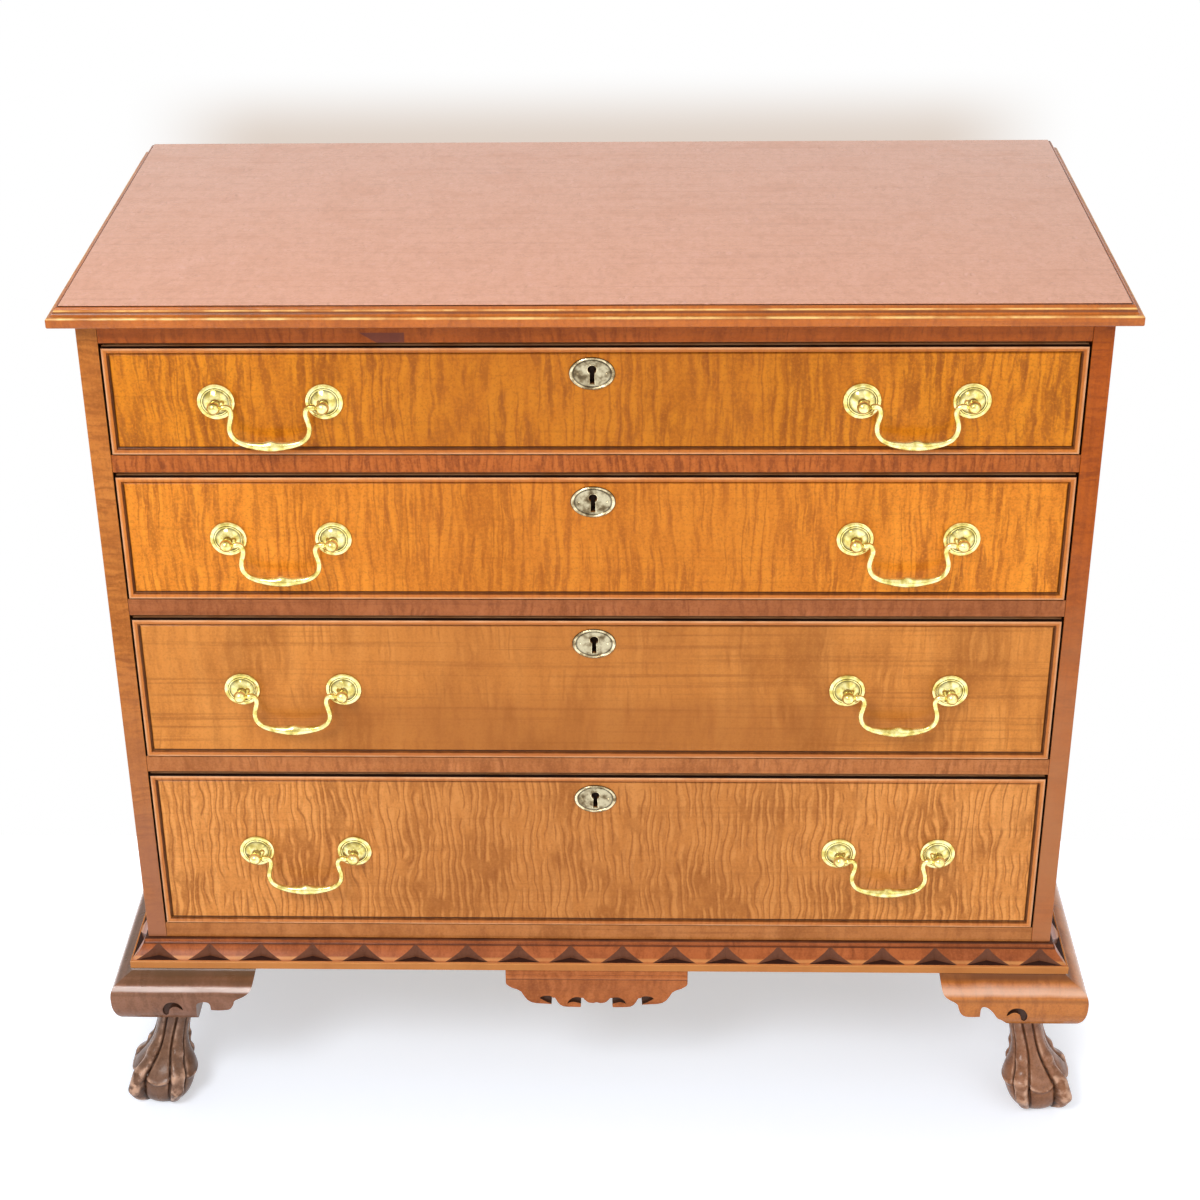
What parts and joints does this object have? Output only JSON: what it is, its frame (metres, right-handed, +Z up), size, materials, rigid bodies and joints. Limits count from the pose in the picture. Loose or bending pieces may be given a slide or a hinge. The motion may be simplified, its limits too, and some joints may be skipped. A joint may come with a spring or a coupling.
{
  "type": "chest of drawers",
  "caption": "Chest of graduated drawers with a moulded overhanging top, chip-carved base moulding, ogee brackets, claw feet and swan-neck pulls.",
  "frame": {"origin": "on the floor, under the middle of the chest's overall box", "axes": "+X to the chest's right as seen from the front, +Y to the back, +Z up; the drawers open along -Y"},
  "size_m": [1.031, 0.5, 0.9279],
  "materials": {
    "top_maple": "curly maple, clear polished, reddish tan",
    "case_maple": "maple stained reddish brown, satin",
    "drawer_maple": "curly maple, amber, satin",
    "foot_maple": "maple stained dark brown, satin",
    "secondary_wood": "bare poplar, matt",
    "brass": "polished",
    "aged_plate": "aged, greyed, worn bright on the rim"
  },
  "bodies": {
    "case": {"top_board": "top_maple", "case_side_left": "case_maple", "case_side_right": "case_maple", "back_panel": "secondary_wood", "top_rail": "case_maple", "drawer_frame_1": "case_maple", "drawer_frame_2": "case_maple", "drawer_frame_3": "case_maple", "bottom_frame": "case_maple", "moulding_backing": "secondary_wood", "base_moulding_front": "case_maple", "base_moulding_left": "case_maple", "base_moulding_right": "case_maple", "pendant": "case_maple", "bracket_base_left": "foot_maple", "bracket_base_right": "foot_maple", "claw_foot_front_left": "foot_maple", "claw_foot_front_right": "foot_maple", "claw_foot_rear_left": "foot_maple", "claw_foot_rear_right": "foot_maple"},
    "drawer_1": {"drawer_1_front": "drawer_maple", "drawer_1_box": "secondary_wood", "drawer_1_bottom": "secondary_wood", "escutcheon_1": "aged_plate", "drawer_1_left_post_left": "brass", "drawer_1_left_post_right": "brass", "drawer_1_right_post_left": "brass", "drawer_1_right_post_right": "brass"},
    "drawer_1_left_bail": {"drawer_1_left_bail": "brass"},
    "drawer_1_right_bail": {"drawer_1_right_bail": "brass"},
    "drawer_2": {"drawer_2_front": "drawer_maple", "drawer_2_box": "secondary_wood", "drawer_2_bottom": "secondary_wood", "escutcheon_2": "aged_plate", "drawer_2_left_post_left": "brass", "drawer_2_left_post_right": "brass", "drawer_2_right_post_left": "brass", "drawer_2_right_post_right": "brass"},
    "drawer_2_left_bail": {"drawer_2_left_bail": "brass"},
    "drawer_2_right_bail": {"drawer_2_right_bail": "brass"},
    "drawer_3": {"drawer_3_front": "drawer_maple", "drawer_3_box": "secondary_wood", "drawer_3_bottom": "secondary_wood", "escutcheon_3": "aged_plate", "drawer_3_left_post_left": "brass", "drawer_3_left_post_right": "brass", "drawer_3_right_post_left": "brass", "drawer_3_right_post_right": "brass"},
    "drawer_3_left_bail": {"drawer_3_left_bail": "brass"},
    "drawer_3_right_bail": {"drawer_3_right_bail": "brass"},
    "drawer_4": {"drawer_4_front": "drawer_maple", "drawer_4_box": "secondary_wood", "drawer_4_bottom": "secondary_wood", "escutcheon_4": "aged_plate", "drawer_4_left_post_left": "brass", "drawer_4_left_post_right": "brass", "drawer_4_right_post_left": "brass", "drawer_4_right_post_right": "brass"},
    "drawer_4_left_bail": {"drawer_4_left_bail": "brass"},
    "drawer_4_right_bail": {"drawer_4_right_bail": "brass"}
  },
  "joints": [
    {"name": "drawer_1_slide", "type": "slide", "parent": "case", "child": "drawer_1", "axis": [0, -1, 0], "range_m": [0, 0.34]},
    {"name": "drawer_1_left_bail_hinge", "type": "hinge", "parent": "drawer_1", "child": "drawer_1_left_bail", "pos_m": [-0.301, -0.227, 0.82425], "axis": [-1, 0, 0], "range_deg": [-10, 180]},
    {"name": "drawer_1_right_bail_hinge", "type": "hinge", "parent": "drawer_1", "child": "drawer_1_right_bail", "pos_m": [0.301, -0.227, 0.82425], "axis": [-1, 0, 0], "range_deg": [-10, 180]},
    {"name": "drawer_2_slide", "type": "slide", "parent": "case", "child": "drawer_2", "axis": [0, -1, 0], "range_m": [0, 0.34]},
    {"name": "drawer_2_left_bail_hinge", "type": "hinge", "parent": "drawer_2", "child": "drawer_2_left_bail", "pos_m": [-0.301, -0.227, 0.68075], "axis": [-1, 0, 0], "range_deg": [-10, 180]},
    {"name": "drawer_2_right_bail_hinge", "type": "hinge", "parent": "drawer_2", "child": "drawer_2_right_bail", "pos_m": [0.301, -0.227, 0.68075], "axis": [-1, 0, 0], "range_deg": [-10, 180]},
    {"name": "drawer_3_slide", "type": "slide", "parent": "case", "child": "drawer_3", "axis": [0, -1, 0], "range_m": [0, 0.34]},
    {"name": "drawer_3_left_bail_hinge", "type": "hinge", "parent": "drawer_3", "child": "drawer_3_left_bail", "pos_m": [-0.301, -0.227, 0.51225], "axis": [-1, 0, 0], "range_deg": [-10, 180]},
    {"name": "drawer_3_right_bail_hinge", "type": "hinge", "parent": "drawer_3", "child": "drawer_3_right_bail", "pos_m": [0.301, -0.227, 0.51225], "axis": [-1, 0, 0], "range_deg": [-10, 180]},
    {"name": "drawer_4_slide", "type": "slide", "parent": "case", "child": "drawer_4", "axis": [0, -1, 0], "range_m": [0, 0.34]},
    {"name": "drawer_4_left_bail_hinge", "type": "hinge", "parent": "drawer_4", "child": "drawer_4_left_bail", "pos_m": [-0.301, -0.227, 0.31725], "axis": [-1, 0, 0], "range_deg": [-10, 180]},
    {"name": "drawer_4_right_bail_hinge", "type": "hinge", "parent": "drawer_4", "child": "drawer_4_right_bail", "pos_m": [0.301, -0.227, 0.31725], "axis": [-1, 0, 0], "range_deg": [-10, 180]}
  ]
}
